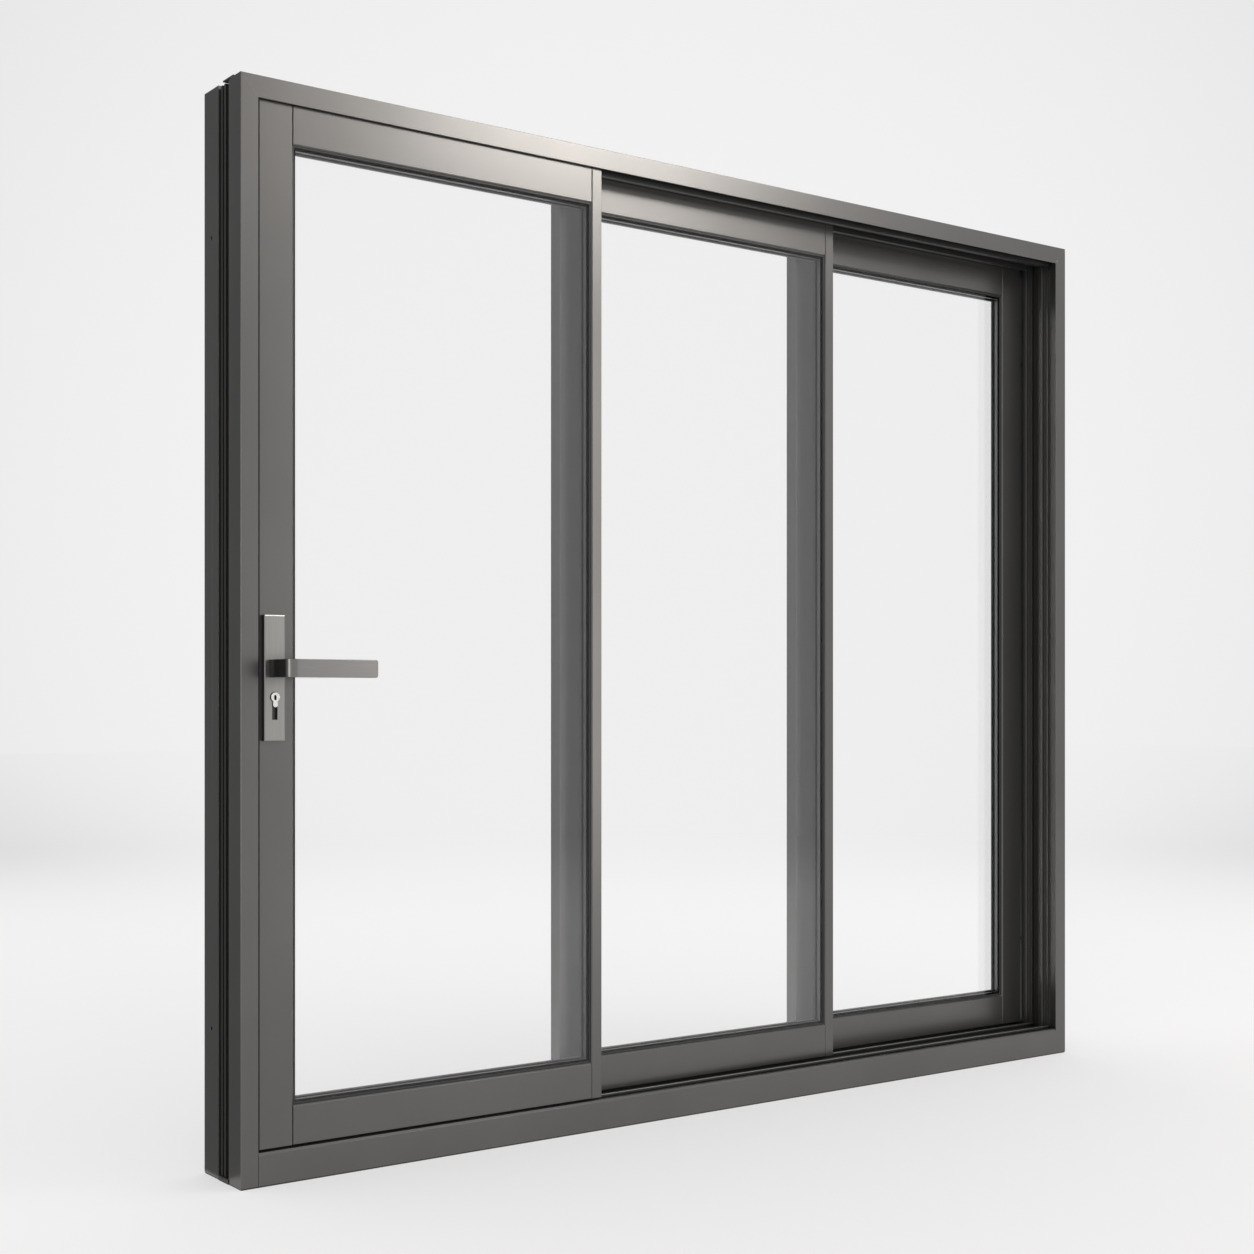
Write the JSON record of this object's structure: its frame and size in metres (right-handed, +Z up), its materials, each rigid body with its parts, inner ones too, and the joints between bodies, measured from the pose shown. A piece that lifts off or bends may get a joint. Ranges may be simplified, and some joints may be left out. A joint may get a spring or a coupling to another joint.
{
  "type": "sliding door",
  "caption": "Glazed aluminium sliding door: sashes on rollers run side by side in a deep outer frame, with a lever handle and lock cylinder on the leading stile.",
  "frame": {"origin": "centre of the outer frame's underside, midway between its front and rear planes", "axes": "+Z up, +X to the right seen from the handle side, -Y towards the viewer on the handle side"},
  "size_m": [2.43, 0.269, 2.203],
  "materials": {
    "frame_aluminium": "satin anodised, mid grey",
    "thermal_break": "matt black glass-filled polyamide",
    "guide_plastic": "matt black extruded plastic",
    "sealing_foam": "matt black compressible tape",
    "rail_steel": "satin anodised, its crown polished by the wheels",
    "gasket_rubber": "matt black glazing gasket",
    "clear_glass": "clear float glass",
    "spacer_bar": "dark satin, perforated bar between the panes",
    "roller_plastic": "moulded grey plastic",
    "handle_satin": "satin, finely brushed",
    "cylinder_nickel": "satin nickel plate"
  },
  "bodies": {
    "frame": {"head_front": "frame_aluminium", "head_break": "thermal_break", "head_rear": "frame_aluminium", "head_guides": "guide_plastic", "head_tape": "sealing_foam", "jamb_left_front": "frame_aluminium", "jamb_left_break": "thermal_break", "jamb_left_rear": "frame_aluminium", "jamb_right_front": "frame_aluminium", "jamb_right_break": "thermal_break", "jamb_right_rear": "frame_aluminium", "sill_front": "frame_aluminium", "sill_break": "thermal_break", "sill_rear": "frame_aluminium", "sill_rails": "rail_steel"},
    "front_sash": {"front_sash_left_stile": "frame_aluminium", "front_sash_right_stile": "frame_aluminium", "front_sash_top_rail": "frame_aluminium", "front_sash_bottom_rail": "frame_aluminium", "front_sash_beads": "frame_aluminium", "front_sash_gaskets": "gasket_rubber", "front_sash_glass": "clear_glass", "front_sash_spacer": "spacer_bar", "front_sash_rollers": "roller_plastic", "handle_plate": "handle_satin", "lock_cylinder": "cylinder_nickel"},
    "middle_sash": {"middle_sash_left_stile": "frame_aluminium", "middle_sash_right_stile": "frame_aluminium", "middle_sash_top_rail": "frame_aluminium", "middle_sash_bottom_rail": "frame_aluminium", "middle_sash_beads": "frame_aluminium", "middle_sash_gaskets": "gasket_rubber", "middle_sash_glass": "clear_glass", "middle_sash_spacer": "spacer_bar", "middle_sash_rollers": "roller_plastic"},
    "rear_sash": {"rear_sash_left_stile": "frame_aluminium", "rear_sash_right_stile": "frame_aluminium", "rear_sash_top_rail": "frame_aluminium", "rear_sash_bottom_rail": "frame_aluminium", "rear_sash_beads": "frame_aluminium", "rear_sash_gaskets": "gasket_rubber", "rear_sash_glass": "clear_glass", "rear_sash_spacer": "spacer_bar", "rear_sash_rollers": "roller_plastic"},
    "lever": {"lever": "handle_satin"}
  },
  "joints": [
    {"name": "front_sash_slide", "type": "slide", "parent": "frame", "child": "front_sash", "axis": [1, 0, 0], "range_m": [0, 1.51067]},
    {"name": "middle_sash_slide", "type": "slide", "parent": "frame", "child": "middle_sash", "axis": [1, 0, 0], "range_m": [-0.75533, 0.75533]},
    {"name": "rear_sash_slide", "type": "slide", "parent": "frame", "child": "rear_sash", "axis": [1, 0, 0], "range_m": [-1.51067, 0]},
    {"name": "lever_turn", "type": "hinge", "parent": "front_sash", "child": "lever", "pos_m": [-1.144, -0.0915, 1.027], "axis": [0, 1, 0], "range_deg": [0, 45], "stiffness_Nm_per_rad": 1.2, "springref_deg": -34.38}
  ]
}
